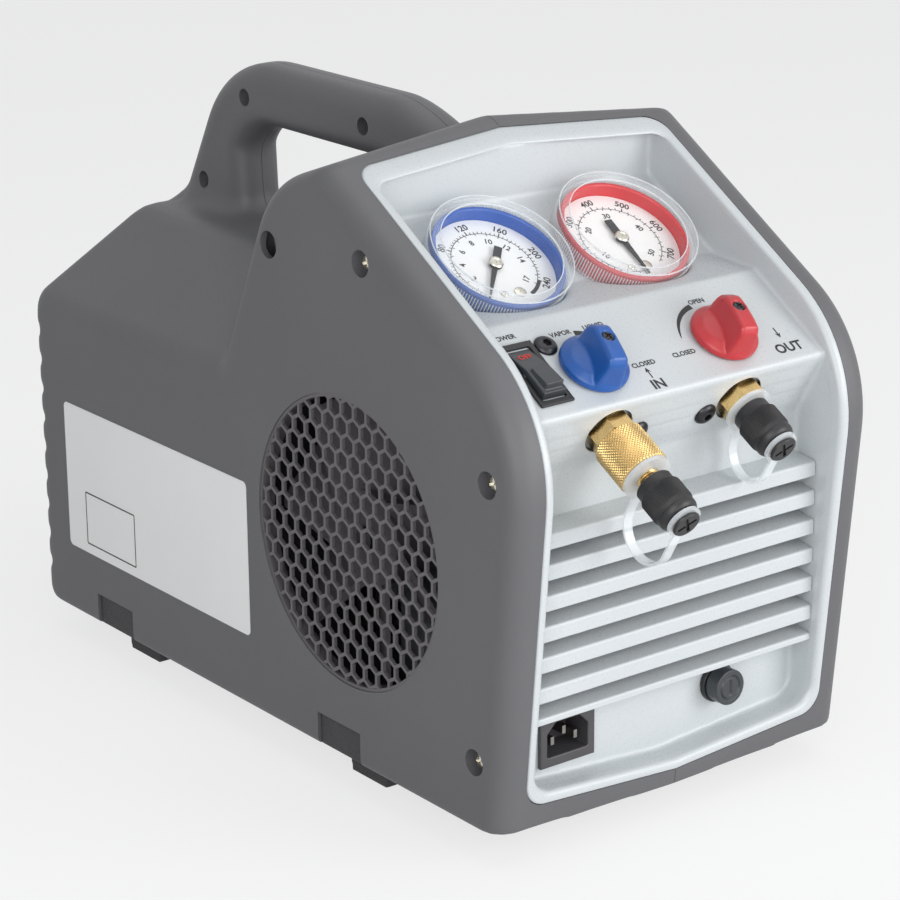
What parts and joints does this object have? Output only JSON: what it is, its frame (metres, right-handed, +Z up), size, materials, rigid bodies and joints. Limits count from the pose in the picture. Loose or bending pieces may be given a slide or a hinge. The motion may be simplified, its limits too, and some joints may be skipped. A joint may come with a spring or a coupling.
{
  "type": "refrigerant recovery machine",
  "caption": "Portable refrigerant recovery machine: grey two-half shell with carry handle, light front tray with gauges, valve knobs, capped flare ports, switch and mains inlet.",
  "frame": {"origin": "middle of the outline on the ground under the rubber pads", "axes": "+Z up, -Y out of the gauge tray at the front, +X to the right seen from the front"},
  "size_m": [0.22, 0.4576, 0.3225],
  "materials": {
    "shell_grey": "fine moulded grain",
    "tray_grey": "satin moulded",
    "black_plastic": "satin moulded",
    "blue_plastic": "gloss moulded",
    "red_plastic": "gloss moulded",
    "clear_plastic": "clear moulded",
    "white_dial": "printed matt white",
    "brass": "turned",
    "black_screw": "blacked steel",
    "bright_steel": "plated",
    "rubber": "matt",
    "cast_alloy": "as cast",
    "motor_grey": "painted",
    "sheet_steel": "painted sheet",
    "copper": "drawn tube",
    "dark_case": "moulded"
  },
  "bodies": {
    "machine": {"left_shell": "shell_grey", "right_shell": "shell_grey", "front_panel": "tray_grey", "fan_grille": "black_plastic", "fan_shroud": "black_plastic", "switch_frame": "black_plastic", "power_inlet": "black_plastic", "fuse_holder": "black_plastic", "blue_gauge_case": "blue_plastic", "red_gauge_case": "red_plastic", "blue_gauge_cover": "clear_plastic", "red_gauge_cover": "clear_plastic", "inlet_tether": "clear_plastic", "outlet_tether": "clear_plastic", "blue_gauge_dial": "white_dial", "red_gauge_dial": "white_dial", "inlet_port": "brass", "outlet_port": "brass", "inlet_filter": "brass", "panel_screws": "black_screw", "case_screws": "bright_steel", "inlet_pins": "bright_steel", "front_left_foot": "rubber", "front_right_foot": "rubber", "rear_left_foot": "rubber", "rear_right_foot": "rubber", "valve_block": "cast_alloy", "crankcase": "cast_alloy", "front_cylinder": "cast_alloy", "rear_cylinder": "cast_alloy", "front_cylinder_head": "cast_alloy", "rear_cylinder_head": "cast_alloy", "condenser_coil": "cast_alloy", "motor_case": "motor_grey", "base_pan": "sheet_steel", "motor_mount": "sheet_steel", "suction_line": "copper", "discharge_line": "copper", "liquid_line": "copper", "pressure_switch": "dark_case", "run_capacitor": "dark_case"},
    "inlet_valve": {"inlet_knob": "blue_plastic", "inlet_stem": "brass"},
    "outlet_valve": {"outlet_knob": "red_plastic", "outlet_stem": "brass"},
    "power_rocker": {"rocker": "black_plastic"},
    "blue_pointer": {"blue_gauge_pointer": "black_screw"},
    "red_pointer": {"red_gauge_pointer": "black_screw"},
    "inlet_sealing_cap": {"inlet_cap": "black_plastic"},
    "outlet_sealing_cap": {"outlet_cap": "black_plastic"},
    "fuse_plug": {"fuse_carrier": "black_plastic"},
    "fan_rotor": {"fan_impeller": "black_plastic", "motor_shaft": "bright_steel"}
  },
  "joints": [
    {"name": "inlet_valve_turn", "type": "hinge", "parent": "machine", "child": "inlet_valve", "pos_m": [-0.04, -0.15939, 0.22779], "axis": [0, -0.5329, 0.8462], "range_deg": [-90, 90]},
    {"name": "outlet_valve_turn", "type": "hinge", "parent": "machine", "child": "outlet_valve", "pos_m": [0.04, -0.15939, 0.22779], "axis": [0, -0.5329, 0.8462], "range_deg": [-90, 30]},
    {"name": "power_rocker_tilt", "type": "hinge", "parent": "machine", "child": "power_rocker", "pos_m": [-0.0715, -0.15685, 0.22939], "axis": [1, 0, 0], "range_deg": [0, 16]},
    {"name": "blue_pointer_sweep", "type": "hinge", "parent": "machine", "child": "blue_pointer", "pos_m": [-0.039, -0.08518, 0.25773], "axis": [0, 0.5373, -0.8434], "range_deg": [0, 280], "stiffness_Nm_per_rad": 0.0004},
    {"name": "red_pointer_sweep", "type": "hinge", "parent": "machine", "child": "red_pointer", "pos_m": [0.039, -0.08518, 0.25773], "axis": [0, 0.5373, -0.8434], "range_deg": [0, 325], "stiffness_Nm_per_rad": 0.0004},
    {"name": "inlet_cap_turn", "type": "hinge", "parent": "machine", "child": "inlet_sealing_cap", "pos_m": [-0.04, -0.17135, 0.20019], "axis": [0, -0.8712, -0.4909], "range_deg": [-90, 360]},
    {"name": "outlet_cap_turn", "type": "hinge", "parent": "machine", "child": "outlet_sealing_cap", "pos_m": [0.04, -0.17135, 0.20019], "axis": [0, -0.8712, -0.4909], "range_deg": [-90, 360]},
    {"name": "fuse_plug_turn", "type": "hinge", "parent": "machine", "child": "fuse_plug", "pos_m": [0.038, -0.16139, 0.054], "axis": [0, -1, 0], "range_deg": [0, 60]},
    {"name": "fan_spin", "type": "hinge", "parent": "machine", "child": "fan_rotor", "pos_m": [-0.0875, -0.0615, 0.1306], "axis": [1, 0, 0], "continuous": true}
  ]
}
